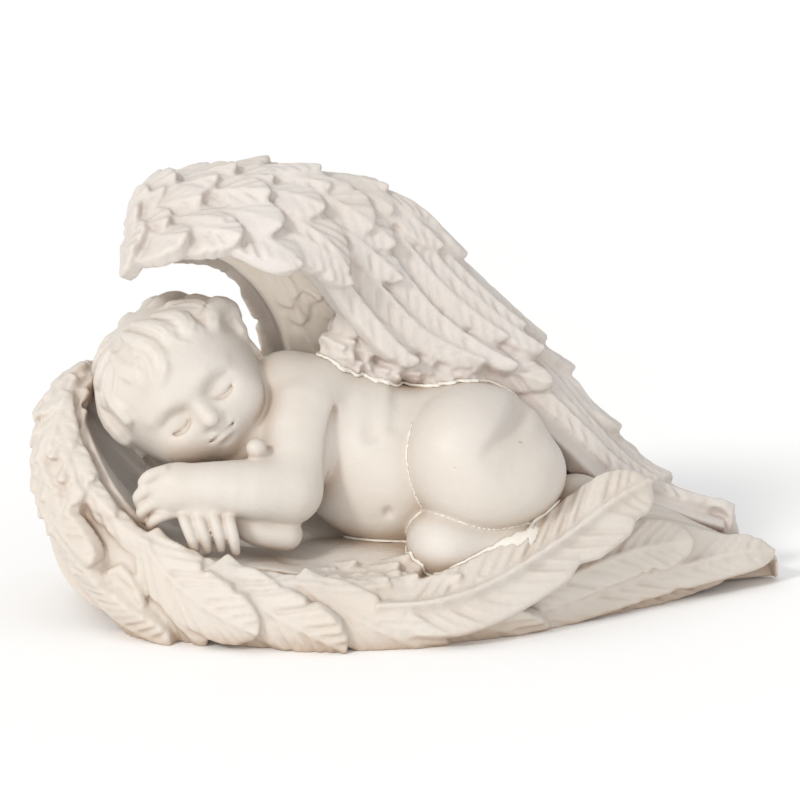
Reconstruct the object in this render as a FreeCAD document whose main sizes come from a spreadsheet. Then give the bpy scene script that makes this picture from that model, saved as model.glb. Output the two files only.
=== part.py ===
"""Resin figurine: a winged child asleep in its own folded wings.

Three castings are bonded together, with a bead of filler where the child meets its bed:

    cradle_wing   the near wing, which lies on the table as a nest and carries the flat base
    canopy_wing   the far wing, which stands behind the nest and arches over the child's head
    cherub        the child, lying on its side with its head on its folded arm
    filler_bead   the squeezed-out filler round the child's seat

Frame: millimetres, +Z up, +X from the head towards the wing tips, -Y towards the viewer.
The origin is on the flat base, below the middle of the figure.
"""
import FreeCAD, Part
import math
import os

import Sketcher
from FreeCAD import Placement, Rotation, Vector

doc = FreeCAD.newDocument("angel_figurine")
sheet = doc.addObject("Spreadsheet::Sheet", "sizes")
sheet.set("A1", "name")
sheet.set("B1", "value, mm")


# ---------------------------------------------------------------- the sheet
def put(alias, value):
    """Adds one named cell to the sheet."""
    put.row += 1
    sheet.set(f"A{put.row}", alias)
    sheet.set(f"B{put.row}", repr(round(float(value), 3)))
    sheet.setAlias(f"B{put.row}", alias)


put.row = 1

# Driving dimensions of the whole figure.
DRIVING = {
    "figure_length": 140.0,
    "figure_height": 83.0,
    "bed_height": 11.0,
    "wing_wall_share": 0.45,
    "bead_width": 1.2,
    "bead_rise": 1.2,
    "nest_radius_up": 32.0,
    "nest_radius_along": 31.0,
    "nest_radius_across": 23.0,
    "nest_centre_x": -28.0,
    "nest_centre_y": -1.0,
    "ground_depth": 10.0,
}
for alias, value in DRIVING.items():
    put(alias, value)
LENGTH = DRIVING["figure_length"]
HEIGHT = DRIVING["figure_height"]

# The child's joints and centres, as shares of the figure's length along X and Y and of its height.
JOINTS = {
    "head": (-0.302, -0.025, 0.522),
    "chest": (-0.078, 0.000, 0.370),
    "belly": (-0.020, -0.020, 0.315),
    "hip": (0.086, 0.000, 0.360),
    "thigh": (0.082, -0.071, 0.360),
    "calf": (0.146, -0.050, 0.327),
    "neck": (-0.215, -0.010, 0.485),
    "shoulder": (-0.128, -0.028, 0.475),
    "elbow": (-0.153, -0.121, 0.300),
    "wrist": (-0.290, -0.140, 0.325),
    "low_elbow": (-0.150, -0.128, 0.205),
    "low_wrist": (-0.265, -0.160, 0.235),
    "low_knee": (0.045, -0.105, 0.200),
    "low_foot": (0.160, -0.050, 0.205),
}
for joint, (along, across, up) in JOINTS.items():
    put(joint + "_x", along * LENGTH)
    put(joint + "_y", across * LENGTH)
    put(joint + "_z", up * HEIGHT)

# Radii of the balls at the child's centres and joints.
BALLS = {
    "head": 15.4,
    "chest": 12.8,
    "belly": 12.6,
    "hip": 12.4,
    "thigh": 11.8,
    "calf": 8.9,
    "neck": 6.6,
    "shoulder": 7.2,
    "elbow": 6.3,
    "wrist": 5.2,
    "low_elbow": 4.2,
    "low_wrist": 4.0,
    "low_knee": 6.4,
    "low_foot": 6.0,
}
for joint, radius in BALLS.items():
    put(joint + "_radius", radius)
# What joins two balls: a cone a little thinner than they are.
LIMBS = [
    ("chest", "hip"),
    ("neck", "chest"),
    ("shoulder", "elbow"),
    ("elbow", "wrist"),
    ("low_elbow", "low_wrist"),
    ("low_knee", "low_foot"),
]
put("limb_share", 0.85)

# The canopy wing's stations along X: where, the hook's centre (y, z), its radius, the lip's angle,
# and where the outside of the wall meets the ground.
CANOPY = [
    (-0.375, 2.5, 67.0, 7.0, 165.0, 10.0),
    (-0.310, 3.0, 68.0, 12.0, 170.0, 17.0),
    (-0.200, 4.5, 66.5, 14.5, 165.0, 24.0),
    (-0.090, 9.0, 62.5, 15.0, 200.0, 28.5),
    (0.000, 13.0, 58.5, 15.5, 228.0, 31.0),
    (0.105, 13.0, 44.5, 12.5, 215.0, 31.0),
    (0.200, 13.0, 32.5, 11.0, 190.0, 30.0),
    (0.305, 16.0, 15.5, 9.0, 160.0, 27.5),
    (0.430, 17.5, 9.0, 5.5, 150.0, 24.5),
    (0.490, 17.0, 5.5, 3.4, 140.0, 21.0),
]
CANOPY_NAMES = ("x", "hook_y", "hook_z", "hook_radius", "lip_angle", "foot_y")
# The cradle's stations along X: where, its floor, its top, then the front and back edges of the floor
# and of the top.
CRADLE = [
    (-0.492, 23.0, 41.0, -6.0, 6.0, -6.0, 6.0),
    (-0.450, 6.0, 46.0, -13.0, 12.0, -14.0, 14.0),
    (-0.360, 0.0, 47.0, -21.0, 17.0, -23.0, 20.0),
    (-0.210, 0.0, 40.0, -29.0, 21.0, -29.0, 23.0),
    (0.000, 0.0, 34.0, -29.5, 24.0, -26.0, 24.0),
    (0.200, 0.0, 31.0, -22.0, 24.0, -18.0, 23.0),
    (0.350, 0.0, 25.0, -9.0, 21.5, -7.0, 20.5),
    (0.505, 0.0, 8.0, 10.0, 17.5, 10.5, 16.5),
]
CRADLE_NAMES = ("x", "floor", "top", "front_low", "back_low", "front_high", "back_high")
for kind, rows, names in (("canopy", CANOPY, CANOPY_NAMES), ("cradle", CRADLE, CRADLE_NAMES)):
    for i, row in enumerate(rows):
        for name, value in zip(names, row):
            put(f"{kind}{i}_{name}", value * LENGTH if name == "x" else value)
doc.recompute()


def cell(alias):
    return float(sheet.get(alias))


def point(joint):
    return Vector(cell(joint + "_x"), cell(joint + "_y"), cell(joint + "_z"))


def bind(obj, prop, expression):
    obj.setExpression(prop, expression)


# ---------------------------------------------------------------- primitives for the child
# Both take grow, an expression for how much larger than the child's own the radii are.
def ball(joint, grow):
    """A rounded mass of the body, or the round of a joint."""
    obj = doc.addObject("Part::Sphere", joint)
    bind(obj, "Radius", f"sizes.{joint}_radius + {grow}")
    for axis in "xyz":
        bind(obj, f"Placement.Base.{axis}", f"sizes.{joint}_{axis}")
    return obj


def limb(start, end, grow):
    """The tapered stretch between two balls."""
    a, b = point(start), point(end)
    cone = doc.addObject("Part::Cone", f"{start}_to_{end}")
    cone.Placement = Placement(a, Rotation(Vector(0, 0, 1), b - a))
    for axis in "xyz":
        bind(cone, f"Placement.Base.{axis}", f"sizes.{start}_{axis}")
    bind(cone, "Radius1", f"sizes.{start}_radius * sizes.limb_share + {grow}")
    bind(cone, "Radius2", f"sizes.{end}_radius * sizes.limb_share + {grow}")
    squares = "+".join(f"(sizes.{end}_{k} - sizes.{start}_{k})^2" for k in "xyz")
    bind(cone, "Height", f"sqrt({squares})")
    return cone


def fused(name, pieces):
    """Fuses pieces one after another, which holds up better here than one fuse of them all."""
    obj = pieces[0]
    for i, piece in enumerate(pieces[1:]):
        step = doc.addObject("Part::Fuse", f"{name}_{i}")
        step.Base, step.Tool = obj, piece
        obj = step
    return obj


def child_forms(grow="0"):
    """The head, the trunk, the raised thigh and calf, the arm under the head, and the low limbs."""
    return [ball(joint, grow) for joint in BALLS] + [limb(start, end, grow) for start, end in LIMBS]


# ---------------------------------------------------------------- the wings' lofts
def plane(body, role):
    return next(f for f in body.Origin.OriginFeatures if f.Role == role)


def sketch_on(body, name, role, offset=0.0):
    """A sketch on one of the body's origin planes, moved along its normal."""
    sketch = body.newObject("Sketcher::SketchObject", name)
    sketch.AttachmentSupport = [(plane(body, role), "")]
    sketch.MapMode = "FlatFace"
    sketch.AttachmentOffset = Placement(Vector(0, 0, offset), Rotation())
    return sketch


def fix(sketch, kind, *args, to=None):
    """Adds a constraint and, if to is given, binds its value to the sheet."""
    index = sketch.addConstraint(Sketcher.Constraint(kind, *args))
    if to:
        sketch.setExpression(f"Constraints[{index}]", to)
    return index


START, END, CENTRE = 1, 2, 3
ORIGIN = (-1, 1)


def hook_section(body, i):
    """One station of the canopy wing: a wall that rises from its foot and bends over to its lip."""
    pre = f"canopy{i}_"
    sketch = sketch_on(body, f"canopy_section_{i}", "YZ_Plane", cell(pre + "x"))
    bind(sketch, ".AttachmentOffset.Base.z", f"sizes.{pre}x")
    cy, cz, radius = (cell(pre + n) for n in ("hook_y", "hook_z", "hook_radius"))
    lip = math.radians(cell(pre + "lip_angle"))
    foot = Vector(cell(pre + "foot_y"), 0, 0)
    inner = radius * (1 - cell("wing_wall_share"))
    centre = Vector(cy, cz, 0)
    away = foot - centre
    turn = math.atan2(away.y, away.x) + math.acos(radius / away.Length)

    def at(r, angle):
        return centre + Vector(math.cos(angle), math.sin(angle), 0) * r

    run = foot - at(radius, turn)
    inner_foot = at(inner, turn) - run * (at(inner, turn).y / run.y)
    up = Vector(0, 0, 1)
    outer_arc = sketch.addGeometry(Part.ArcOfCircle(Part.Circle(centre, up, radius), turn, lip))
    inner_arc = sketch.addGeometry(Part.ArcOfCircle(Part.Circle(centre, up, inner), turn, lip))
    lip_line = sketch.addGeometry(Part.LineSegment(at(radius, lip), at(inner, lip)))
    inner_line = sketch.addGeometry(Part.LineSegment(at(inner, turn), inner_foot))
    foot_line = sketch.addGeometry(Part.LineSegment(inner_foot, foot))
    outer_line = sketch.addGeometry(Part.LineSegment(foot, at(radius, turn)))
    fix(sketch, "Coincident", outer_arc, END, lip_line, START)
    fix(sketch, "Coincident", lip_line, END, inner_arc, END)
    fix(sketch, "Coincident", inner_arc, START, inner_line, START)
    fix(sketch, "Coincident", inner_line, END, foot_line, START)
    fix(sketch, "Coincident", foot_line, END, outer_line, START)
    fix(sketch, "Coincident", outer_line, END, outer_arc, START)
    fix(sketch, "Coincident", outer_arc, CENTRE, inner_arc, CENTRE)
    fix(sketch, "DistanceX", *ORIGIN, outer_arc, CENTRE, cy, to=f"sizes.{pre}hook_y")
    fix(sketch, "DistanceY", *ORIGIN, outer_arc, CENTRE, cz, to=f"sizes.{pre}hook_z")
    fix(sketch, "Radius", outer_arc, radius, to=f"sizes.{pre}hook_radius")
    share = f"sizes.{pre}hook_radius * (1 - sizes.wing_wall_share)"
    fix(sketch, "Radius", inner_arc, inner, to=share)
    fix(sketch, "DistanceX", *ORIGIN, outer_line, START, foot.x, to=f"sizes.{pre}foot_y")
    return sketch


def hull_section(body, i):
    """One station of the cradle's hull: a flat floor and top joined by two bulging sides."""
    pre = f"cradle{i}_"
    sketch = sketch_on(body, f"cradle_section_{i}", "YZ_Plane", cell(pre + "x"))
    bind(sketch, ".AttachmentOffset.Base.z", f"sizes.{pre}x")
    names = {
        "front_low": ("front_low", "floor"),
        "front_high": ("front_high", "top"),
        "back_high": ("back_high", "top"),
        "back_low": ("back_low", "floor"),
    }
    corner = {k: Vector(cell(pre + y), cell(pre + z), 0) for k, (y, z) in names.items()}

    def side(low, high, outwards):
        """A flat arc from the low corner to the high one."""
        bulge = Vector(outwards * 0.1 * (corner[high] - corner[low]).Length, 0, 0)
        middle = (corner[low] + corner[high]) * 0.5 + bulge
        return Part.Arc(corner[low], middle, corner[high])

    front = sketch.addGeometry(side("front_low", "front_high", -1))
    top = sketch.addGeometry(Part.LineSegment(corner["front_high"], corner["back_high"]))
    back = sketch.addGeometry(side("back_low", "back_high", 1))
    floor = sketch.addGeometry(Part.LineSegment(corner["front_low"], corner["back_low"]))
    for line, position, key in (
        (top, START, "front_high"),
        (top, END, "back_high"),
        (floor, START, "front_low"),
        (floor, END, "back_low"),
    ):
        y, z = names[key]
        fix(sketch, "DistanceX", *ORIGIN, line, position, corner[key].x, to=f"sizes.{pre}{y}")
        fix(sketch, "DistanceY", *ORIGIN, line, position, corner[key].y, to=f"sizes.{pre}{z}")
    # An arc runs anticlockwise, so the front one starts at its top and the back one at its floor.
    fix(sketch, "Coincident", front, START, top, START)
    fix(sketch, "Coincident", front, END, floor, START)
    fix(sketch, "Coincident", back, START, floor, END)
    fix(sketch, "Coincident", back, END, top, END)
    return sketch


def loft(body, name, sections):
    obj = body.newObject("PartDesign::AdditiveLoft", name)
    obj.Profile = sections[0]
    obj.Sections = sections[1:]
    obj.Ruled = False
    body.Tip = obj
    return obj


def side_pocket(body, name, points):
    """Cuts away, through the whole depth, what a closed outline in the XZ plane bounds.

    All the points but the last two make its curved edge, and straight lines through those two close it."""
    sketch = sketch_on(body, name + "_outline", "XZ_Plane")
    flat = [Vector(x, z, 0) for x, z in points]
    curve = Part.BSplineCurve()
    curve.interpolate(flat[:-2])
    sketch.addGeometry(curve)
    for a, b in zip(flat[-3:], flat[-2:] + flat[:1]):
        sketch.addGeometry(Part.LineSegment(a, b))
    doc.recompute()
    cut = body.newObject("PartDesign::Pocket", name)
    cut.Profile = sketch
    cut.Type = "ThroughAll"
    cut.Midplane = True
    body.Tip = cut
    return cut


def canopy_body():
    body = doc.addObject("PartDesign::Body", "canopy_body")
    loft(body, "canopy_loft", [hook_section(body, i) for i in range(len(CANOPY))])
    doc.recompute()
    # Behind the head the wall stops in a curve that runs up from the base to the underside of the tip.
    edge = [(-60, 60), (-50, 62), (-41, 62), (-33, 56), (-27, 46), (-23, 28), (-20, -5)]
    side_pocket(body, "head_opening", edge + [(-90, -5), (-90, 60)])
    return body


def on_ground(body, feature):
    """Attaches a subtracted primitive to the ground plane."""
    feature.AttachmentSupport = [(plane(body, "XY_Plane"), "")]
    feature.MapMode = "FlatFace"


def cradle_body():
    body = doc.addObject("PartDesign::Body", "cradle_body")
    loft(body, "cradle_loft", [hull_section(body, i) for i in range(len(CRADLE))])
    doc.recompute()
    # The rim falls from the curl beside the head to the front, and rises a little at the quill tips.
    bed = cell("bed_height")
    rim = [(-80, 50), (-64, 46), (-55, 30), (-42, bed + 7), (-25, bed + 3), (0, bed), (20, bed + 1)]
    rim += [(44, bed + 7), (58, bed), (80, bed - 8)]
    side_pocket(body, "rim_cut", rim + [(80, 70), (-80, 70)])
    nest = body.newObject("PartDesign::SubtractiveEllipsoid", "nest")
    nest.Angle1, nest.Angle2, nest.Angle3 = -90, 90, 360
    for prop, way in (("Radius1", "up"), ("Radius2", "along"), ("Radius3", "across")):
        setattr(nest, prop, cell(f"nest_radius_{way}"))
        bind(nest, prop, f"sizes.nest_radius_{way}")
    on_ground(body, nest)
    bind(nest, ".AttachmentOffset.Base.x", "sizes.nest_centre_x")
    bind(nest, ".AttachmentOffset.Base.y", "sizes.nest_centre_y")
    bind(nest, ".AttachmentOffset.Base.z", "sizes.bed_height + sizes.nest_radius_up")
    # The hull dips a little between its stations, so the base is ground flat.
    ground = body.newObject("PartDesign::SubtractiveBox", "flat_base")
    bind(ground, "Length", "sizes.figure_length * 2")
    bind(ground, "Width", "sizes.figure_length")
    bind(ground, "Height", "sizes.ground_depth")
    on_ground(body, ground)
    bind(ground, ".AttachmentOffset.Base.x", "-sizes.figure_length")
    bind(ground, ".AttachmentOffset.Base.y", "-sizes.figure_length / 2")
    bind(ground, ".AttachmentOffset.Base.z", "-sizes.ground_depth")
    body.Tip = ground
    return body


# ---------------------------------------------------------------- joints between the castings
def cut(name, base, *tools):
    obj = base
    for i, tool in enumerate(tools):
        step = doc.addObject("Part::Cut", f"{name}_{i}")
        step.Base, step.Tool = obj, tool
        obj = step
    return obj


def finished(label, source, smallest=10.0):
    """The finished piece as its own feature, without any sliver, in cubic mm, that a cut left."""
    doc.recompute()
    solids = [s for s in source.Shape.Solids if s.Volume > smallest]
    obj = doc.addObject("Part::Feature", label)
    obj.Shape = solids[0] if len(solids) == 1 else Part.makeCompound(solids)
    obj.Label = label
    return obj


def bead_ring():
    """The filler: what lies within bead_width of the child and within bead_rise of the bed."""
    raised = doc.addObject("Part::Feature", "raised_cradle")
    raised.Shape = cradle.Shape.copy()
    raised.Placement.Base = Vector(0, 0, cell("bead_rise"))
    layer = doc.addObject("Part::MultiCommon", "bead_layer")
    layer.Shapes = [fused("swollen_child", child_forms("sizes.bead_width")), raised]
    return cut("bead_cut", layer, cradle, canopy, child)


child = fused("child_fuse", child_forms())
canopy = canopy_body()
cradle = cradle_body()
doc.recompute()
bead = bead_ring()

cherub = finished("cherub", child)
canopy_wing = finished("canopy_wing", cut("canopy_cut", canopy, child))
cradle_wing = finished("cradle_wing", cut("cradle_cut", cradle, child, canopy))
filler_bead = finished("filler_bead", bead)

parts = [cherub, canopy_wing, cradle_wing, filler_bead]
doc.recompute()
for obj in doc.Objects:
    if {"Invalid", "Error"} & set(obj.State):
        raise SystemExit(f"{obj.Name} failed: {obj.State}")
for part in parts:
    if part.Shape.isNull() or not part.Shape.isValid():
        raise SystemExit(f"{part.Label} has no valid shape")
    print(part.Label, round(part.Shape.Volume), "mm3")

os.makedirs("parts", exist_ok=True)
for part in parts:
    part.Shape.exportStep(f"parts/{part.Label}.step")
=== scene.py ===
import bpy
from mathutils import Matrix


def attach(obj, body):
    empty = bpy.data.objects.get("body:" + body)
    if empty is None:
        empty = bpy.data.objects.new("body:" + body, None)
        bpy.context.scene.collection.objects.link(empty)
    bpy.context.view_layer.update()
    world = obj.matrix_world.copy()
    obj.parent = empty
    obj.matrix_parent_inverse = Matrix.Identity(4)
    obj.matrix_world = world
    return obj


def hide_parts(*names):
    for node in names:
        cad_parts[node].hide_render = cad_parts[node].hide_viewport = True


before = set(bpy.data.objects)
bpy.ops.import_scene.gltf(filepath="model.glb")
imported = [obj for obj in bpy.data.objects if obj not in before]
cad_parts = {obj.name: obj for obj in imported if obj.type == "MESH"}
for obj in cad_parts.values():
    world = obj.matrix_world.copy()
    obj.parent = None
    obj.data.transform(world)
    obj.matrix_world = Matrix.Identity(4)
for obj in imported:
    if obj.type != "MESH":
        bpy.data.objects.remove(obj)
"""Resin angel figurine: the visual model.

Each casting is sculpted as a block of signed distances in millimetres, in the shared frame: forms are
pressed together with soft joints, creases are cut in, and the zero surface is taken as the mesh.
Feathers are closed shells that are pressed into the wings' blocks.
"""
import math

import bpy
import numpy as np
import openvdb as vdb
from mathutils import Vector

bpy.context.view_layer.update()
MM = 0.001
SEED = 7
FINE = 0.30  # the child's grid step, mm
COARSE = 0.36  # the wings' grid step, mm
FAR = 4.0  # what a block holds where nothing is near, mm
MARGIN = 2  # how far round a form its distances are worked out, mm
MERGE = 0.02  # how readily faces merge where the surface is flat
rng = np.random.default_rng(SEED)


# ---- small helpers
def vec(*values):
    return np.array(values, float)


def unit(v):
    v = np.asarray(v, float)
    return v / np.maximum(np.linalg.norm(v, axis=-1, keepdims=True), 1e-9)


def smoothstep(low, high, x):
    f = np.clip((x - low) / (high - low), 0.0, 1.0)
    return f * f * (3.0 - 2.0 * f)


def soft_union(a, b, soft):
    """The lesser of two distances, with a fillet about as wide as soft where they meet."""
    near = np.minimum(a, b)
    if soft:
        near = near - np.maximum(soft - np.abs(a - b), 0) ** 2 / (4 * soft)
    return near


def spline(points, at):
    """A Catmull-Rom curve through points, read at parameters from 0 to len(points) - 1."""
    points = np.asarray(points, float)
    padded = np.vstack([2 * points[0] - points[1], points, 2 * points[-1] - points[-2]])
    at = np.clip(np.asarray(at, float), 0, len(points) - 1)
    i = np.minimum(at.astype(int), len(points) - 2)
    f = (at - i)[..., None]
    p0, p1, p2, p3 = (padded[i + k] for k in range(4))
    square = 2 * p0 - 5 * p1 + 4 * p2 - p3
    cube = 3 * p1 - p0 - 3 * p2 + p3
    return 0.5 * (2 * p1 + (p2 - p0) * f + square * f**2 + cube * f**3)


# ---- the block of clay
class Clay:
    """A block of signed distances in mm, negative inside, on a regular grid."""

    def __init__(self, low, high, voxel):
        self.low, self.voxel = vec(*low), voxel
        self.count = np.ceil((vec(*high) - self.low) / voxel).astype(int) + 1
        self.field = np.full(self.count, FAR, np.float32)

    def blank(self):
        """An empty block on the same grid."""
        return Clay(self.low, self.low + self.voxel * (self.count - 1), self.voxel)

    def along(self, axis):
        """The grid's coordinates along one axis."""
        return (self.low[axis] + self.voxel * np.arange(self.count[axis])).astype(np.float32)

    def window(self, low, high):
        """The slices of the block between two corners, and the open coordinate grids there."""
        first = np.clip(np.floor((low - self.low) / self.voxel).astype(int), 0, self.count)
        last = np.clip(np.ceil((high - self.low) / self.voxel).astype(int) + 1, 0, self.count)
        slices = tuple(slice(a, b) for a, b in zip(first, last))
        x, y, z = (self.along(axis)[slices[axis]] for axis in range(3))
        return slices, (x[:, None, None], y[None, :, None], z[None, None, :])

    def add(self, form, soft=0.0):
        """Presses a form on, with a fillet about as wide as soft."""
        distance, low, high = form
        slices, grid = self.window(low - soft - MARGIN, high + soft + MARGIN)
        self.field[slices] = soft_union(self.field[slices], distance(*grid), soft)

    def cut(self, form, soft=0.0):
        """Cuts a form out, with an edge rounded about as wide as soft."""
        distance, low, high = form
        slices, grid = self.window(low - soft - MARGIN, high + soft + MARGIN)
        self.field[slices] = -soft_union(-self.field[slices], distance(*grid), soft)

    def blur(self):
        """Softens every edge a little, as a mould does."""
        for axis in range(3):
            f = np.moveaxis(self.field, axis, 0)
            f[1:-1] = 0.25 * f[:-2] + 0.5 * f[1:-1] + 0.25 * f[2:]

    def read(self, other):
        """This block's distances at another block's grid points, by linear interpolation."""
        out = np.full(other.count, FAR, np.float32)
        at, inside = [], []
        for axis in range(3):
            places = other.low[axis] + other.voxel * np.arange(other.count[axis])
            at.append((places - self.low[axis]) / self.voxel)
            inside.append((at[axis] >= 0) & (at[axis] <= self.count[axis] - 1.001))
        part = self.field
        for axis in range(3):
            a = at[axis][inside[axis]]
            i = a.astype(int)
            f = (a - i).astype(np.float32).reshape([-1 if n == axis else 1 for n in range(3)])
            part = np.take(part, i, axis=axis) * (1 - f) + np.take(part, i + 1, axis=axis) * f
        out[np.ix_(*inside)] = part
        return out

    def mesh(self, name):
        """An object of the zero surface, in metres."""
        grid = vdb.FloatGrid(FAR)
        grid.copyFromArray(np.clip(self.field, -FAR, FAR))
        points, triangles, quads = grid.convertToPolygons(isovalue=0.0, adaptivity=MERGE)
        points = (points * self.voxel + self.low) * MM
        faces = triangles[:, ::-1].tolist() + quads[:, ::-1].tolist()
        data = bpy.data.meshes.new(name)
        data.from_pydata(points.tolist(), [], faces)
        data.polygons.foreach_set("use_smooth", np.ones(len(faces), bool))
        data.update()
        piece = bpy.data.objects.new(name, data)
        bpy.context.scene.collection.objects.link(piece)
        print(name, len(triangles) + 2 * len(quads), "triangles")
        return piece


def level_set(clay, points, reach=5, **faces):
    """Signed distances to a closed mesh on the clay's grid, worked out up to reach steps from it."""
    grid = vdb.FloatGrid.createLevelSetFromPolygons(
        (points - clay.low).astype(np.float32), transform=vdb.createLinearTransform(clay.voxel),
        halfWidth=reach, **faces)
    out = np.full(clay.count, reach * clay.voxel, np.float32)
    grid.copyToArray(out)
    return out


# ---- forms
def ellipsoid(centre, radii, axes=None):
    """A form: its distance function and its box. The rows of axes are the ellipsoid's own directions."""
    centre, radii = vec(*centre), vec(*radii)
    axes = np.eye(3) if axes is None else np.asarray(axes)
    reach = np.sqrt(((axes * radii[:, None]) ** 2).sum(0))

    def distance(x, y, z):
        p = (x - centre[0], y - centre[1], z - centre[2])
        near, steep = 0.0, 0.0
        for row, radius in zip(axes, radii):
            q = (row[0] * p[0] + row[1] * p[1] + row[2] * p[2]) / radius
            near = near + q * q
            steep = steep + (q / radius) ** 2
        near = np.sqrt(near)
        return near * (near - 1) / np.maximum(np.sqrt(steep), 1e-6)

    return distance, centre - reach, centre + reach


def ball(centre, radius):
    return ellipsoid(centre, (radius,) * 3)


def strand(points, radii):
    """A form: a tapering tube through points."""
    points = np.asarray(points, float)
    radii = np.broadcast_to(np.asarray(radii, float), len(points))

    def distance(x, y, z):
        best = None
        for a, b, ra, rb in zip(points[:-1], points[1:], radii[:-1], radii[1:]):
            ab = b - a
            p = (x - a[0], y - a[1], z - a[2])
            t = np.clip((p[0] * ab[0] + p[1] * ab[1] + p[2] * ab[2]) / max(ab @ ab, 1e-9), 0, 1)
            d = np.sqrt((p[0] - t * ab[0]) ** 2 + (p[1] - t * ab[1]) ** 2 + (p[2] - t * ab[2]) ** 2)
            d = d - (ra + (rb - ra) * t)
            best = d if best is None else np.minimum(best, d)
        return best

    return distance, (points - radii[:, None]).min(0), (points + radii[:, None]).max(0)


def curve_strand(points, radii, steps=8):
    """A strand along a smooth curve through points, with its radii read the same way."""
    at = np.linspace(0, len(points) - 1, steps + 1)
    radii = np.broadcast_to(np.asarray(radii, float), len(points))
    return strand(spline(points, at), np.interp(at, np.arange(len(points)), radii))


# ---- the child's head
# The head's own directions: its right as the viewer sees it, up through the crown, and out of the face.
HEAD = vec(-42.2, -3.0, 43.5)
HEAD_AXES = np.array([(0.760, 0.159, 0.630), (-0.637, -0.012, 0.771), (0.130, -0.987, 0.092)])
SKULL = vec(15.6, 15.4, 15.2)
HEAD_SIZE, HEAD_SHIFT = 0.90, vec(1.2, 0, -1.0)  # the share of its sculpted size, and its move after that
LOCK_STEPS = 7
# Rings of swept locks: how many, how low they reach in degrees, and their radius.
HAIR_RINGS = ((10, 40, 2.0), (14, 12, 2.4), (16, -16, 2.3))
LOOSE_RADIUS = 1.9
# Loose curls, each a path of degrees round from the face, degrees up, and mm proud of the cap.
LOOSE_CURLS = (
    ((-30, 74, 0.2), (-8, 58, 1.0), (2, 42, 1.1), (-4, 27, 0.9), (-16, 17, 0.3)),
    ((-52, 60, 0.2), (-34, 44, 1.0), (-22, 32, 1.0), (-28, 20, 0.4)),
    ((4, 76, 0.2), (20, 58, 1.0), (22, 44, 1.0), (8, 36, 0.4)),
    ((40, 66, 0.2), (46, 48, 1.2), (38, 36, 1.2), (24, 33, 0.5)),
    ((70, 58, 0.4), (70, 38, 1.3), (58, 26, 1.3), (46, 24, 0.5)),
    ((-70, 50, 0.2), (-60, 30, 1.0), (-52, 16, 1.0), (-60, 4, 0.4)),
    ((-92, 42, 0.2), (-82, 20, 1.0), (-76, 2, 1.0), (-84, -12, 0.4)),
    ((96, 46, 0.4), (88, 24, 1.0), (78, 8, 1.0), (82, -6, 0.4)),
)


def on_head(x, y, z):
    """A place given by the head's own directions."""
    return HEAD + vec(x, y, z) @ HEAD_AXES


def head_path(points, side=1):
    """Places given by the head's own directions, mirrored if side is -1."""
    return [on_head(side * x, y, z) for x, y, z in points]


def on_skull(around, up, lift=0.0):
    """A place on the skull: degrees round from the face, degrees up towards the crown, and mm proud."""
    a, e = math.radians(around), math.radians(up)
    way = vec(math.sin(a) * math.cos(e), math.sin(e), math.cos(a) * math.cos(e))
    return HEAD + (way * (SKULL + lift)) @ HEAD_AXES


def turned(roll):
    """The head's directions, rolled by degrees about the line out of the face."""
    c, s = math.cos(math.radians(roll)), math.sin(math.radians(roll))
    return np.array([(c, s, 0), (-s, c, 0), (0, 0, 1)]) @ HEAD_AXES


def head_form(x, y, z, rx, ry, rz, roll=0.0):
    return ellipsoid(on_head(x, y, z), (rx, ry, rz), turned(roll))


def sculpt_eye(clay, side):
    """A full cheek, and a closed eye in its socket, under a soft brow."""
    clay.add(head_form(side * 6.4, -7.4, 9.2, 5.4, 5.2, 4.6), 3.5)
    clay.cut(head_form(side * 5.6, -2.3, 16.4, 4.3, 2.4, 2.9, side * -6), 2.6)
    clay.add(head_form(side * 5.7, -2.9, 11.9, 3.3, 2.1, 2.0, side * -8), 0.7)
    brow = head_path([(2.0, 0.6, 14.1), (5.2, 1.9, 13.9), (9.2, 0.7, 11.9)], side)
    clay.add(curve_strand(brow, (0.6, 0.9, 0.5)), 2.4)
    lashes = head_path([(2.9, -3.5, 13.5), (4.4, -4.5, 13.9), (6.6, -4.6, 13.6), (8.8, -3.5, 12.2)], side)
    clay.cut(curve_strand(lashes, (0.28, 0.46, 0.46, 0.24)), 0.4)
    fold = head_path([(2.9, -1.6, 14.0), (5.6, -0.9, 14.2), (8.6, -1.7, 12.9)], side)
    clay.cut(curve_strand(fold, (0.15, 0.3, 0.15)), 0.7)


def sculpt_nose(clay):
    bridge = head_path([(0, -0.6, 12.9), (0, -3.4, 14.4), (0, -5.7, 15.9)])
    clay.add(curve_strand(bridge, (1.2, 1.3, 1.6)), 2.0)
    clay.add(ball(on_head(0, -6.1, 16.0), 1.75), 1.0)
    for side in (-1, 1):
        clay.add(ball(on_head(side * 1.75, -6.6, 14.8), 1.15), 0.7)
        clay.cut(ball(on_head(side * 0.95, -7.7, 15.9), 0.5), 0.5)


def sculpt_mouth(clay):
    """The lips on their mound, the groove above them, and the dip between them and the chin."""
    clay.add(head_form(0, -9.9, 12.2, 3.9, 2.9, 2.7), 2.0)
    clay.cut(strand(head_path([(0, -7.9, 15.6), (0, -8.8, 15.5)]), (0.4, 0.5)), 0.8)
    for side in (-1, 1):
        clay.add(head_form(side * 1.25, -9.3, 14.5, 1.9, 0.75, 0.95, side * -14), 0.5)
    clay.add(head_form(0, -10.9, 14.1, 2.1, 0.95, 1.0), 0.5)
    between_lips = head_path([(-3.3, -9.8, 13.6), (-1.4, -10.1, 15.1), (0, -9.9, 15.5), (1.4, -10.1, 15.1),
                              (3.3, -9.8, 13.6)])
    clay.cut(curve_strand(between_lips, (0.42, 0.34, 0.30, 0.34, 0.42)), 0.35)
    clay.cut(head_form(0, -12.1, 14.6, 1.9, 0.5, 0.8), 0.9)


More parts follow.
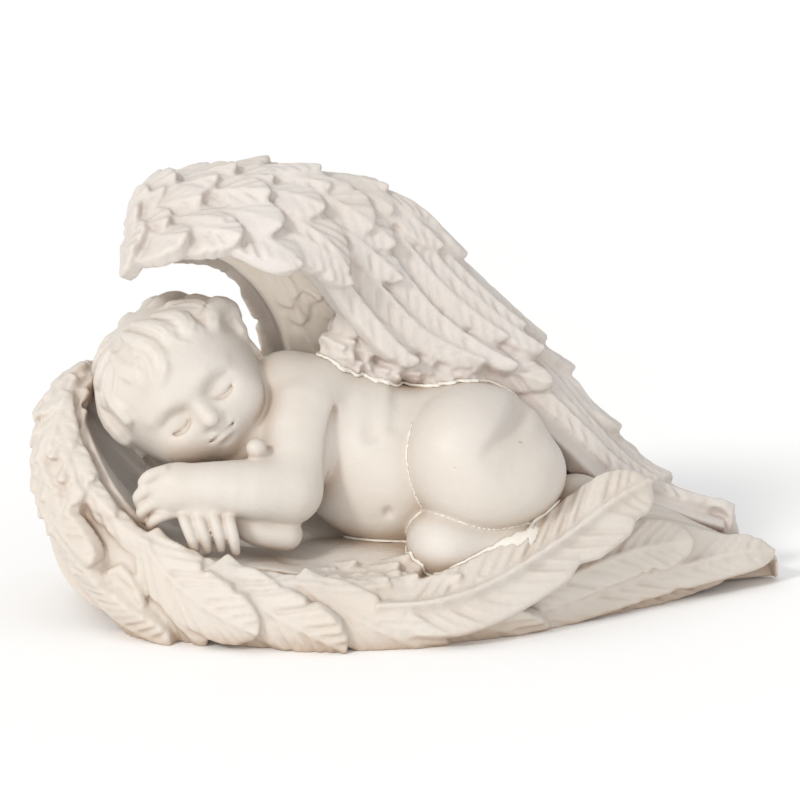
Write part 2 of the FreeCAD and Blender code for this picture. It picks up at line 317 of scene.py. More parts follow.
def sculpt_face(clay):
    """A calm sleeping baby's face on plain proportions: low wide eyes, a small nose, full cheeks."""
    clay.add(head_form(0, -6.0, 3.0, 12.2, 10.0, 11.0), 5)
    clay.add(head_form(0, 3.0, 3.0, 13.4, 10.5, 12.0), 4)
    clay.add(head_form(0, -13.4, 9.4, 3.6, 3.0, 3.4), 4)
    for side in (-1, 1):
        sculpt_eye(clay, side)
    sculpt_nose(clay)
    sculpt_mouth(clay)


def sculpt_ears(clay):
    for side in (-1, 1):
        a = side * 14.4
        clay.add(head_form(a, -2.4, -1.4, 2.2, 3.8, 2.6, side * -10), 1.2)
        rim = ((-5.6, 0.3), (-3.6, 1.3), (-0.8, 1.0), (1.0, -1.2), (0.0, -3.0))
        rim = [on_head(a + side * 1.4, y, z) for y, z in rim]
        clay.add(curve_strand(rim, (0.7, 0.8, 0.8, 0.8, 0.6)), 0.5)
        clay.cut(head_form(a + side * 2.6, -2.4, -0.6, 1.1, 2.0, 1.3), 0.7)


def cap_lift(around, up):
    """How far the cap of hair stands off the skull."""
    a, e = math.radians(around), math.radians(up)
    return max(0.0, 0.2 + 2.0 * math.sin(e) - 2.4 * math.cos(a) * math.cos(e))


def hair_lock(clay, path, radius):
    """One swept lock on the skull: a tapering roll with two lines scored along it."""
    path = [(around, up, lift + cap_lift(around, up)) for around, up, lift in path]
    between = len(path) - 2
    radii = [radius * 0.55] + [radius] * between + [0.35]
    clay.add(curve_strand([on_skull(*place) for place in path], radii, LOCK_STEPS), 0.65)
    for shift in (-0.42, 0.42):
        line = []
        for i, (around, up, lift) in enumerate(path):
            closing = 1 if i <= len(path) // 2 else 0.6
            line.append(on_skull(around + shift * radius * 3.6 * closing, up, lift + radius * 0.9))
        clay.cut(curve_strand(line, [0.1] + [0.36] * between + [0.1], LOCK_STEPS), 0.5)


def sculpt_hair(clay):
    """Short baby hair: locks swept from a whorl at the back of the crown, and a few loose curls in front."""
    for around in range(-180, 180, 15):
        up = max(25 + 8 * math.cos(math.radians(around * 2)), 30)
        clay.add(ball(on_skull(around, up, -2.2), 3.0), 2.5)
    clay.add(ellipsoid(HEAD + vec(0, 2.0, -2.4) @ HEAD_AXES, SKULL + 0.2, HEAD_AXES), 2.0)
    for ring, (count, low, wide) in enumerate(HAIR_RINGS):
        for i in range(count):
            around = -180 + 360 * (i + 0.5 * (ring % 2)) / count + rng.uniform(-5, 5)
            front = math.cos(math.radians(around))
            reach = low + rng.uniform(-4, 4)
            # The lowest ring runs only round the back, and the others stop short of the brow.
            if ring == 2 and front > -0.1:
                continue
            if front > 0.2:
                reach = max(reach, 30 - 4 * rng.random())
            start = min(80, reach + 36)
            sway = rng.choice((-1, 1)) * rng.uniform(8, 16) / max(math.cos(math.radians(reach)), 0.4)
            path = [(around - 10, start, -1.8), (around, (start + reach) / 2 + 3, -0.2),
                    (around + sway * 0.7, reach + 5, 0.1), (around + sway, reach - 3, -0.4)]
            hair_lock(clay, path, wide * rng.uniform(0.85, 1.1))
    for path in LOOSE_CURLS:
        hair_lock(clay, path, LOOSE_RADIUS)
    # The one curl that stands up over the temple, rolled back on itself, and the line scored in it.
    curl = head_path([(10.5, 4.0, 8.5), (12.8, 7.6, 6.6), (15.6, 8.2, 3.4), (17.0, 5.2, 1.2),
                      (15.0, 2.4, 2.4)])
    clay.add(curve_strand(curl, (1.4, 2.2, 2.5, 2.2, 1.2), 10), 0.9)
    clay.cut(curve_strand(head_path([(9.8, 6.6, 10.2), (12.2, 9.8, 8.0), (15.4, 10.6, 4.4)]), 0.3), 0.5)


def sculpt_head(clay):
    clay.add(ellipsoid(HEAD, SKULL, HEAD_AXES), 0)
    sculpt_face(clay)
    sculpt_ears(clay)
    sculpt_hair(clay)


def head_distances(clay):
    """The head's distances on the clay's grid: it is sculpted on its own block, and read back smaller."""
    block = Clay(HEAD - 24, HEAD + 24, clay.voxel)
    sculpt_head(block)
    spread = Clay(HEAD, HEAD, clay.voxel / HEAD_SIZE)
    spread.low, spread.count = HEAD + (clay.low - HEAD - HEAD_SHIFT) / HEAD_SIZE, clay.count
    return block.read(spread) * HEAD_SIZE


# ---- the child's body
def sculpt_trunk(clay):
    """Chest, belly and hip, with the soft folds of the side and the navel."""
    clay.add(ellipsoid((-10.5, 2, 31), (12.5, 12, 14)), 5)
    clay.add(ellipsoid((-3, -2.5, 26), (14, 12.6, 13.8)), 6)
    clay.add(ellipsoid((11, 1, 30), (13.5, 13, 12.2)), 5)
    clay.add(ellipsoid((-22, 0, 41), (9, 8, 7)), 5)
    # The chest behind the chin.
    clay.add(ellipsoid((-29, -5.5, 32), (9, 8, 7.5)), 4)
    clay.cut(curve_strand([(-5.6, -2.5, 46), (-6.0, -9.5, 41.0), (-6.4, -12.5, 35.5)], (1.1, 0.95, 0.4)), 2.6)
    clay.cut(curve_strand([(-1.2, -1, 43), (-1.7, -9.0, 39.5), (-2.0, -11.5, 37)], (0.35, 0.25, 0.1)), 2.4)
    clay.cut(ellipsoid((-3.3, -15.2, 21.0), (0.7, 1.6, 1.1)), 1.3)


def sculpt_thigh(clay):
    """The drawn-up near leg."""
    clay.add(ellipsoid((10.8, -9.5, 30.2), (11.4, 12.2, 12.2)), 0)
    clay.add(ellipsoid((13.5, -3.0, 33.0), (12.0, 11.0, 9.2)), 4)
    clay.add(ellipsoid((20.4, -7.5, 27.0), (9.2, 11.2, 8.8)), 2.6)
    clay.add(ellipsoid((15.0, -13.0, 25.0), (8.5, 8.0, 6.8)), 5)


def sculpt_low_leg(clay):
    """The leg that lies on the bed."""
    clay.add(ellipsoid((7.2, -14.5, 15.6), (7.2, 8.5, 6.6)), 0)
    clay.add(ellipsoid((16.0, -11.0, 15.0), (12.0, 8.5, 5.6)), 5)
    clay.add(ellipsoid((26.0, -5.0, 15.5), (8.0, 6.5, 4.6)), 5)


def finger(clay, points, radius=1.2):
    clay.add(curve_strand(points, (radius, radius * 0.98, radius * 0.92, radius * 0.72), 6), 0.35)


def sculpt_near_arm(clay):
    """The near arm, folded under the chin, with its hand by the cheek."""
    upper_arm = [(-16.0, -1.5, 40), (-18.6, -6, 38.0), (-20.2, -12, 32), (-21.4, -16.5, 26)]
    clay.add(curve_strand(upper_arm, (7.4, 7.4, 6.6, 6.2), 6), 1.6)
    # The upper arm's crease against the body.
    crease = [(-13.4, -9.4, 39.6), (-14.0, -13.4, 34.5), (-14.6, -15.6, 28), (-16.6, -16.2, 20)]
    clay.cut(curve_strand(crease, (0.5, 1.1, 1.4, 1.3), 6), 1.6)
    forearm = [(-21.6, -17.0, 26.6), (-28, -19.5, 27.0), (-34.5, -20.6, 27.6), (-40.0, -20.4, 27.6)]
    clay.add(curve_strand(forearm, (6.2, 5.6, 4.8, 4.3), 6), 1.5)
    wrist = [(-33.0, -26.8, 28.8), (-34.6, -27.0, 25.6), (-37.2, -25.4, 24.0)]
    clay.cut(curve_strand(wrist, (0.3, 0.5, 0.3)), 0.8)
    clay.add(ellipsoid((-43.0, -20.4, 27.2), (5.2, 3.8, 4.7)), 2.0)
    for x, z in ((-46.4, 30.4), (-47.4, 27.6), (-46.8, 24.8), (-45.0, 22.6)):
        finger(clay, [(x + 2.4, -21.9, z + 0.6), (x, -22.5, z), (x - 1.4, -21.8, z - 1.5),
                      (x - 1.2, -20.4, z - 3.4)])
    clay.add(ellipsoid((-45.2, -20.2, 24.2), (2.8, 2.0, 2.4)), 0.6)


def sculpt_far_hand(clay):
    """The far hand under the near arm, with its forearm."""
    clay.add(ellipsoid((-36.6, -20.4, 23.4), (5.4, 4.0, 3.2)), 1.2)
    for x, lean, top in ((-40.6, 2.2, 23.2), (-38.1, 2.0, 23.6), (-35.2, 1.6, 23.8), (-32.4, 1.4, 23.2)):
        finger(clay, [(x, -22.6, top), (x + lean * 0.3, -24.4, top - 1.6),
                      (x + lean * 0.75, -24.9, top - 4.2), (x + lean, -24.2, top - 6.8)])
    forearm = [(-31.5, -18.0, 21.0), (-27, -18.4, 19.0), (-22.0, -17.6, 18.0)]
    clay.add(curve_strand(forearm, (2.6, 3.0, 3.1)), 1.0)


def sculpt_lump(clay):
    """A lump of resin left between the chin and the arm."""
    clay.add(ball((-26.6, -17.4, 32.6), 1.8), 0.8)
    clay.add(ball((-27.3, -18.6, 34.4), 1.9), 0.9)


def sculpt_child():
    """Returns the child's block, and the distances to the seams of its legs, where filler shows."""
    clay = Clay((-64, -31, 6), (34, 18, 64), FINE)
    joint = 0.8
    sculpt_trunk(clay)
    clay.field = soft_union(clay.field, head_distances(clay), joint)
    sculpt_near_arm(clay)
    sculpt_far_hand(clay)
    sculpt_lump(clay)
    trunk, low_leg, thigh = clay.field.copy(), clay.blank(), clay.blank()
    sculpt_low_leg(low_leg)
    sculpt_thigh(thigh)
    whole_thigh, low_leg = thigh.field.copy(), low_leg.field
    # The crease between the buttock and the calf.
    crease = [(22.5, -1.0, 40.5), (20.8, -11.0, 38.2), (18.2, -16.8, 36.2), (15.0, -20.6, 34.2)]
    thigh.cut(curve_strand(crease, (2.2, 1.8, 1.1, 0.25)), 2.4)
    clay.field = soft_union(soft_union(trunk, low_leg, joint), thigh.field, joint)
    seams = np.minimum(np.hypot(whole_thigh, np.minimum(trunk, low_leg)), np.hypot(low_leg, trunk))
    clay.blur()
    # The filler thins out towards the top of the crease, and lies no deeper than the skin.
    seams = seams + 0.6 * smoothstep(36, 42, clay.along(2))
    return clay, np.maximum(seams, clay.field - 0.3)


# ---- feathers
ROW_STEP, COLUMN_STEP = 0.45, 0.36  # the mesh of a feather, mm
BARB_PITCH, BARB_DEPTH, BARB_KINDS = 1.7, 0.8, 16  # mm, mm, and how many depths the grooves have


class Shells:
    """Closed shells, gathered as one set of points and quads."""

    def __init__(self):
        self.points, self.quads, self.total = [], [], 0

    def add(self, top, bottom):
        """A closed slab between two grids of points of the same size."""
        rows, columns = top.shape[:2]
        size = rows * columns
        index = np.arange(size).reshape(rows, columns)
        face = np.stack([index[:-1, :-1], index[1:, :-1], index[1:, 1:], index[:-1, 1:]], -1).reshape(-1, 4)
        edge = np.concatenate([index[0], index[1:, -1], index[-1, -2::-1], index[-2:0:-1, 0]])
        after = np.roll(edge, -1)
        wall = np.stack([edge, after, after + size, edge + size], -1)
        self.points.append(np.concatenate([top.reshape(-1, 3), bottom.reshape(-1, 3)]))
        self.quads.append(np.concatenate([face, face[:, ::-1] + size, wall]) + self.total)
        self.total += 2 * size

    def field(self, clay):
        """The signed distances to the shells' union, on the clay's grid."""
        quads = np.concatenate(self.quads).astype(np.uint32)
        return level_set(clay, np.concatenate(self.points), quads=quads)


def nicked(half, s, t):
    """The half widths of a vane, with one to three nicks cut in each side."""
    for way in (-1, 1):
        nicks = np.zeros(len(t))
        for _ in range(rng.integers(1, 4)):
            place = rng.uniform(0.45, 0.95)
            nicks += rng.uniform(0.08, 0.24) * np.clip(1 - np.abs(t - place) / rng.uniform(0.02, 0.05), 0, 1)
        narrower = half * (1 - np.clip(nicks, 0, 0.35))[:, None]
        half = np.where(s[None, :] * way > 0, narrower, half)
    return half


def barb_grooves(across, t, length):
    """The depth of the grooves between the barbs, which slant back from the rachis and vary."""
    slant = rng.uniform(1.3, 1.8)
    wander = 0.35 * np.sin(across / rng.uniform(1.2, 2.2) + rng.uniform(0, 6))
    spacing = BARB_PITCH * math.hypot(1, slant)
    phase = (t[:, None] * length - slant * np.abs(across)) / spacing + wander / BARB_PITCH
    depth = rng.uniform(0.1, 1.5, BARB_KINDS)[np.round(phase).astype(int) % BARB_KINDS]
    groove = (0.5 + 0.5 * np.cos(2 * math.pi * phase)) ** 1.5 * depth
    clear = smoothstep(0.25, 0.8, np.abs(across)) * smoothstep(0.0, 0.12, t)[:, None]
    return BARB_DEPTH * groove * clear


def feather(shells, spine, normals, width, thick=1.3, rise=1.2, ridge=0.7, quill_width=0.55, blunt=0.5,
            roll=0.0):
    """A closed vane along spine: a raised rachis, barbs that slant back from it, and a nicked edge.

    Its root is sunk in the surface that the normals belong to, and its tip stands rise above it.
    It keeps its width up to the share blunt of its length, and roll, in degrees, lifts its one side."""
    sunk = 0.5
    length = np.linalg.norm(np.diff(spine, axis=0), axis=1).sum()
    rows = int(np.clip(length / ROW_STEP, 12, 130))
    columns = int(np.clip(width / COLUMN_STEP, 11, 31)) | 1
    t = np.linspace(0, 1, rows)
    s = np.linspace(-1, 1, columns)
    at = t * (len(spine) - 1)
    middle = spline(spine, at)
    normal = unit(spline(normals, at))
    side = unit(np.cross(normal, unit(np.gradient(middle, axis=0))))
    tilt = math.radians(roll)
    side, normal = (side * math.cos(tilt) + normal * math.sin(tilt),
                    normal * math.cos(tilt) - side * math.sin(tilt))
    body = 0.62 + 0.38 * smoothstep(0, 0.3, t)
    end = np.sqrt(np.clip(1 - np.clip((t - blunt) / (1 - blunt), 0, 1) ** 2.2, 0.0, 1))
    half = np.repeat((0.5 * width * body * end + 0.15)[:, None], columns, 1)
    across = s[None, :] * nicked(half, s, t)
    bend = rng.uniform(-0.05, 0.05) * length * (t**2)
    grooves = barb_grooves(across, t, length)
    height = -sunk + (rise + sunk) * (t**1.25)[:, None] + thick * 0.5 * (1 - s[None, :] ** 2)
    rachis = ridge * np.exp(-((across / quill_width) ** 2)) * (1 - 0.6 * t)[:, None]
    height = height + rachis - grooves
    under = -sunk + 0.35 * (rise + sunk) * (t**1.25) - 0.8 * thick
    flat = (middle + side * bend[:, None])[:, None] + side[:, None] * across[..., None]
    shells.add(flat + normal[:, None] * height[..., None], flat + normal[:, None] * under[:, None, None])


def quill(shells, spine, width, facing, **shape):
    """A feather along given points, which faces one way all along."""
    feather(shells, np.asarray(spine, float), np.tile(unit(facing), (len(spine), 1)), width, **shape)


class Sheet:
    """A curved surface through three curves: u runs along them, and v runs from 0 on the first curve to 1
    on the last, past the second at mid."""

    def __init__(self, first, second, last, mid, outwards):
        self.first, self.second, self.last = (np.asarray(c, float) for c in (first, second, last))
        self.mid, self.outwards = mid, outwards
        self.stations = len(first) - 1

    def at(self, u, v):
        u, v = np.broadcast_arrays(np.asarray(u, float), np.asarray(v, float))
        a, k, b = (spline(c, u) for c in (self.first, self.second, self.last))
        m = self.mid
        pull = (k - (1 - m) ** 2 * a - m**2 * b) / (2 * m * (1 - m))
        v = v[..., None]
        return (1 - v) ** 2 * a + 2 * v * (1 - v) * pull + v**2 * b

    def normal(self, u, v):
        step = 0.02
        du = self.at(u + step, v) - self.at(u - step, v)
        dv = self.at(u, v + step) - self.at(u, v - step)
        return unit(np.cross(du, dv)) * self.outwards

    def slab(self, shells, sunk, thickness, v_from=0.0, v_to=1.0):
        """A closed slab between sunk and thickness below the surface. Below 0 is above it."""
        u_values, v_values = np.linspace(0.02, self.stations - 0.02, 90), np.linspace(v_from, v_to, 44)
        u, v = np.meshgrid(u_values, v_values, indexing="ij")
        p, n = self.at(u, v), self.normal(u, v)
        shells.add(p - n * sunk, p - n * thickness(u, v)[..., None])

    def feather(self, shells, start, end, width, inside=0.0, proud=0.0, steps=7, **shape):
        """A feather whose spine runs from (u, v) to (u, v), on the surface or on a face below it."""
        t = np.linspace(0, 1, steps)
        u = start[0] + (end[0] - start[0]) * t
        v = start[1] + (end[1] - start[1]) * t
        p, n = self.at(u, v), self.normal(u, v)
        if inside:
            p, n = p - n * inside, -n
        feather(shells, p + n * proud, n, width, **shape)

    def near(self, x, z):
        """Where the surface passes x and z, as seen from the front."""
        u, v = np.meshgrid(np.linspace(0, self.stations, 240), np.linspace(0, 1, 60), indexing="ij")
        p = self.at(u, v)
        i = np.argmin((p[..., 0] - x) ** 2 + (p[..., 2] - z) ** 2)
        return u.flat[i], v.flat[i]


def even(thickness):
    """A slab's thickness that is the same all over."""
    return lambda u, v: np.full(u.shape, thickness)


# ---- the far wing
# From the lip over the head, past the crest, to the foot. Stations run from the head to the wing's tip.
CANOPY = Sheet(
    first=[(-51.5, -2.5, 67), (-45, -8, 69.5), (-35.5, -10, 71.5), (-26, -10, 70.5), (-16.5, -8, 66),
           (-10, -3, 55), (-2, 0, 45), (8, 2, 40), (20, 3, 36), (30, 2, 29.5), (38, 3, 22), (48, 9, 16.5),
           (61, 14, 10.6)],
    second=[(-51, 2.5, 70.5), (-46, 6, 76.3), (-37, 8, 78.6), (-24, 10, 78.8), (-12.5, 11, 75.6),
            (0, 12, 70), (9, 13, 59.8), (19, 14, 49), (28, 15, 40), (35, 16, 30), (43, 17, 21),
            (51, 17, 15.2), (61, 17, 11.8)],
    last=[(-51, 8, 64), (-44, 13, 64), (-34, 17, 61), (-25.5, 20, 49.5), (-21.5, 23, 27), (-19, 26, 5),
          (-5, 28, 0), (12, 29, 0), (26, 28, 0), (38, 26.5, 0), (48, 24, 0), (57, 21.5, 0), (64, 18.5, 3)],
    mid=0.4, outwards=1)
# Long feathers over the arch, as v, where u starts and ends, and the width.
SECONDARIES = ((0.43, 3.6, 7.4, 6.6), (0.37, 3.3, 7.6, 6.4), (0.31, 3.6, 7.2, 6.0), (0.25, 3.2, 7.7, 6.6),
               (0.19, 3.5, 7.2, 5.6), (0.13, 3.1, 7.6, 6.0), (0.06, 2.9, 7.2, 6.6), (0.01, 3.3, 6.2, 5.4))
COVERTS = ((0.40, 3.0, 5.9), (0.33, 2.7, 5.2), (0.25, 3.0, 5.6), (0.17, 2.6, 5.0), (0.09, 2.8, 5.3))
# Feathers whose tips break the skyline, as where u starts and ends.
SKYLINE = ((0.9, 2.1), (1.6, 2.9), (2.3, 3.65), (3.4, 5.0), (4.3, 5.75), (5.2, 6.65), (6.0, 7.4), (6.6, 8.1),
           (7.6, 9.3), (8.6, 10.6))
CREST = 0.43
ROOT_FACING = vec(0.05, -0.93, 0.36)


def canopy_thickness(u, v):
    return 3.0 + 1.6 * smoothstep(0, 2, u) * smoothstep(12, 9, u) + 1.2 * smoothstep(0.4, 1, v)


def long_feathers(shells):
    """Primaries side by side down to the tip, and secondaries and coverts that end over them."""
    for v in (0.42, 0.35, 0.28, 0.21, 0.14):
        start = rng.uniform(6.4, 7.2)
        end = (rng.uniform(10.4, 12.2), v + rng.uniform(-0.03, 0.02))
        CANOPY.feather(shells, (start, v), end, 5.4, rise=1.6, ridge=0.8, roll=rng.uniform(-10, 2), steps=12)
    for v, start, end, width in SECONDARIES:
        CANOPY.feather(shells, (start, v), (end, v + 0.02), width, rise=rng.uniform(2.4, 3.2), proud=0.5,
                       thick=1.8, ridge=1.1, blunt=0.75, roll=rng.uniform(-16, -4), steps=12)
    for v, start, end in COVERTS:
        CANOPY.feather(shells, (start, v), (end, v + 0.01), 7.4, rise=2.6, proud=1.0, ridge=0.8, blunt=0.7,
                       roll=rng.uniform(-12, 4), steps=9)


def head_scales(shells):
    """Broad scales over the head, in rows down to the lip, and the tips that break the skyline."""
    for i, v in enumerate((0.38, 0.29, 0.20, 0.11, 0.04)):
        u = -0.3 + 0.4 * (i % 2)
        while u < 3.2:
            reach = rng.uniform(1.0, 1.35) + 0.25 * max(u, 0)
            end = (u + reach, v - 0.08 * (1 - smoothstep(2, 4, u)) + rng.uniform(-0.03, 0.03))
            CANOPY.feather(shells, (max(u, 0), v), end, rng.uniform(8.6, 11.0), rise=rng.uniform(2.4, 3.8),
                           thick=1.7, proud=0.4 + 0.2 * i, ridge=0.5, blunt=rng.uniform(0.4, 0.7),
                           roll=rng.uniform(-16, 16))
            u += rng.uniform(0.62, 0.9)
    for start, end in SKYLINE:
        CANOPY.feather(shells, (start, CREST), (end, CREST + 0.01), 7.2, rise=rng.uniform(2.4, 3.6),
                       thick=1.8, blunt=0.75)


def back_rows(shells):
    """Broad rows up the back, from the foot to the crest."""
    for i, v in enumerate(np.linspace(0.97, 0.47, 9)):
        u = -0.2 + 0.45 * (i % 2)
        while u < 11.3:
            reach = (1.4 + 1.9 * smoothstep(1, 7, u)) * rng.uniform(0.9, 1.1)
            gap = np.linalg.norm(CANOPY.at(u, v + 0.04) - CANOPY.at(u, v - 0.04))
            width = float(np.clip(gap * 1.6, 6.0, 12.5))
            end = (min(u + reach, 12.2), v + rng.uniform(-0.01, 0.02))
            CANOPY.feather(shells, (max(u, 0), v), end, width, rise=rng.uniform(1.6, 2.4), proud=0.12 * i,
                           roll=rng.uniform(-5, 5))
            u += (0.85 + 0.5 * smoothstep(2, 8, u)) * rng.uniform(0.9, 1.1)


def vanes_under_arch(shells):
    for _ in range(30):
        u, v = rng.uniform(2.6, 5.8), rng.uniform(0.52, 0.95)
        end = (u + rng.uniform(0.7, 1.3), v + rng.uniform(-0.08, 0.02))
        CANOPY.feather(shells, (u, v), end, rng.uniform(5.5, 8.5), inside=canopy_thickness(*end) + 0.1,
                       rise=rng.uniform(0.9, 1.8), thick=0.8, ridge=0.9)


def root_down(shells):
    """A cushion of down behind the child's back, and the broad vane that leaves it."""
    for _ in range(80):
        x, drop = rng.uniform(-14.0, 13.5), rng.uniform(0, 1)
        top, low = 54 - 0.42 * (x + 10), 44.5 - 0.25 * (x + 10)
        place = vec(x, 0.4 + 0.17 * (x + 10) - 1.2 * drop, top + (low - top) * drop)
        way = unit(vec(0.75 + rng.uniform(-0.5, 0.3), -0.1, -0.55 + rng.uniform(-0.5, 0.45)))
        tip = place + way * 2.8 + ROOT_FACING * rng.uniform(0.2, 1.2)
        spine = [place - way * 2.6, place + ROOT_FACING * 0.5, tip]
        quill(shells, spine, rng.uniform(2.6, 3.8), ROOT_FACING, thick=1.0, rise=1.2, ridge=0.7)
    vane = [(-5, 2.0, 53), (5, 3.0, 49), (16, 5.0, 43.5), (27, 7.0, 39.0)]
    quill(shells, vane, 8.5, ROOT_FACING, rise=1.4)


def sculpt_canopy():
    shells = Shells()
    CANOPY.slab(shells, 0.6, canopy_thickness)
    long_feathers(shells)
    head_scales(shells)
    back_rows(shells)
    vanes_under_arch(shells)
    root_down(shells)
    clay = Clay((-60, -16, -1), (72, 38, 88), COARSE)
    clay.field = shells.field(clay)
    # The root's own thickness, under its down.
    root = [(-11, 5, 51), (0, 7, 47.5), (12, 9, 41), (24, 10, 36)]
    clay.add(curve_strand(root, (3.6, 5.2, 5.4, 3.4)), 2.0)
    clay.add(curve_strand([(-8, 3.5, 47.5), (2, 3.5, 44), (12, 5, 41.5)], 2.6), 2.0)
    clay.blur()
    return clay


# ---- the near wing
# The front of the nest, from its rim down to the ground, and on to the tip of the long quills.
CRADLE = Sheet(
    first=[(-52, 14, 42), (-59, 6, 44.5), (-62, -5, 41), (-60, -12.5, 33), (-55, -19, 25.6),
           (-47, -23.6, 18.8), (-34, -27, 14.4), (-18, -28, 11.5), (-1, -26.5, 9.5), (14, -21.5, 9.5),
           (29, -12.5, 13), (44, -3, 17), (58, 7.5, 12), (69, 14.5, 7)],
    second=[(-55, 18, 33), (-64.5, 6, 35), (-66.5, -8, 30), (-63, -15.5, 22), (-56.5, -21.8, 15),
            (-47.6, -26.4, 9.5), (-35, -30, 6.8), (-18, -31.5, 5.5), (-1, -29.5, 4.5), (15, -23.5, 4.5),
            (31, -14, 6), (46, -3, 8.5), (59, 7, 6), (69.5, 14, 4.5)],
    last=[(-51, 15, 20), (-61, 5, 23), (-62, -7, 15), (-57, -14, 7.5), (-50.5, -19, 2.5), (-43.5, -24, 0),
          (-33, -28, 0), (-17, -30, 0), (-1, -28, 0), (15, -21, 0), (30, -11, 0), (46, 1, 0), (58, 10, 0.5),
          (69, 16, 2.5)],
    mid=0.45, outwards=-1)
# The nest's wall behind the head.
NEST_BACK = Sheet(
    first=[(-61, -3, 40.5), (-59, 6, 42), (-58, 13, 37), (-53, 19, 29.5), (-46, 22, 22.5), (-37, 24.5, 17.5),
           (-27, 26.5, 15), (-18, 27, 14)],
    second=[(-64.5, -4, 28), (-63.5, 7, 30), (-60.5, 15.5, 25), (-55.5, 21.5, 20), (-47, 25, 13),
            (-37, 27.5, 10), (-27, 29, 8), (-18, 29.5, 8)],
    last=[(-59, -8, 6), (-59.5, 5, 8), (-57, 13.5, 5), (-52.5, 19, 3), (-45, 22.5, 0), (-36, 25, 0),
          (-27, 27, 0), (-18, 28, 0)],
    mid=0.45, outwards=1)
# Feathers of the front, each lying over the next: the spine's start and end, as x and z, and the width.
FRONT_FEATHERS = (
    ((-63.0, 32.0), (-55.0, 15.0), 9.0),
    ((-56.5, 26.0), (-41.5, 3.8), 11.5),
    ((-48.0, 19.0), (-26.5, 4.2), 11.0),
    ((-35.0, 14.5), (-11.0, 1.6), 10.5),
    ((-20.0, 12.6), (8.0, 0.6), 10.5),
    ((-4.0, 10.0), (26.0, 0.8), 9.5),
)
UNDER_FEATHERS = (
    ((-66.5, 34.0), (-68.0, 20.0), 6.5),
    ((-66.5, 28.0), (-64.5, 12.0), 7.0),
    ((-63.0, 22.0), (-60.5, 7.5), 7.0),
    ((-59.0, 17.0), (-53.0, 3.6), 8.0),
    ((-54.0, 13.0), (-46.0, 1.8), 8.0),
    ((-45.0, 9.0), (-36.0, 0.8), 8.5),
    ((-33.0, 6.0), (-19.0, 0.0), 8.5),
    ((-15.0, 5.0), (3.0, 0.0), 8.0),
)
# Where the bed swells up to the belly, the lower leg, the heel and the calf: centres and radii.
BED_MOUNDS = (((-5, -9, 9), (17, 11, 5.6)), ((14, -9, 9), (14, 10, 6.5)), ((31.5, 0.5, 14), (9, 8.5, 10.5)),
              ((22, -13, 11), (8.5, 6, 7)))


def cradle_thickness(u, v):
    return 1.6 + 2.8 * smoothstep(13, 11.5, u) * np.ones(v.shape)


def nest_front(shells):
    for start, end, width in UNDER_FEATHERS:
        CRADLE.feather(shells, CRADLE.near(*start), CRADLE.near(*end), width, rise=1.2, roll=6)
    for start, end, width in FRONT_FEATHERS:
        CRADLE.feather(shells, CRADLE.near(*start), CRADLE.near(*end), width, rise=2.2, proud=0.7, roll=11,
                       thick=1.8, ridge=0.35, blunt=0.7)


def nest_back(shells):
    for v in (0.72, 0.48, 0.24, 0.0):
        for u in np.arange(0.0, 6.4, 0.55):
            end = (min(u + rng.uniform(0.9, 1.3), 6.95), v + rng.uniform(0.24, 0.34))
            NEST_BACK.feather(shells, (u, v), end, rng.uniform(7.0, 8.6), rise=rng.uniform(1.4, 2.2),
                              proud=0.3, roll=rng.uniform(-8, 8))


def nest_rim(shells):
    """The rim, rolled over towards the bed, and the small ruffled scales on the curl beside the head."""
    for u in np.arange(1.5, 9.5, 0.7):
        CRADLE.feather(shells, (u, 0.10), (u + 1.5, 0.02), 4.6, proud=0.4, rise=0.8, ridge=0.3)
    for v in (0.5, 0.38, 0.26, 0.14, 0.02):
        for u in np.arange(0.0, 3.3, 0.36):
            CRADLE.feather(shells, (u + rng.uniform(-0.12, 0.12), v), (u + rng.uniform(0.1, 0.5), v + 0.2),
                           rng.uniform(4.2, 5.6), proud=0.9, rise=rng.uniform(1.2, 2.2), ridge=0.4,
                           roll=rng.uniform(-14, 14))


def long_quills(shells):
    """The quills that fan out towards the tip, and the broad one that stands over them."""
    outward, upward = (0.30, -0.86, 0.40), (0.16, -0.78, 0.60)
    lowest = [(18, -20.5, 1.6), (33, -11, 1.8), (52, 3.0, 2.8), (70, 15.5, 4.6)]
    quill(shells, lowest, 6.0, outward, rise=0.6)
    longest = [(12, -25, 2.6), (28, -15.5, 4.2), (46, -2.5, 6.6), (62, 9.0, 7.6), (69, 14.5, 7.0)]
    quill(shells, longest, 8.6, outward, rise=0.8, ridge=0.9)
    middle = [(18, -21.5, 5.6), (30, -14.0, 9.2), (42, -5.5, 11.8), (53, 2.5, 11.6)]
    quill(shells, middle, 9.6, outward, rise=1.4, ridge=0.7, blunt=0.75, roll=6)
    broad = [(-6, -30.4, 7.0), (5, -29.4, 7.6), (15.5, -25.3, 9.8), (28, -17.3, 15.0), (39, -9.4, 20.4),
             (46, -4.6, 22.2)]
    quill(shells, broad, 12.6, upward, rise=1.2, ridge=2.6, quill_width=1.0, thick=2.2, blunt=0.72)


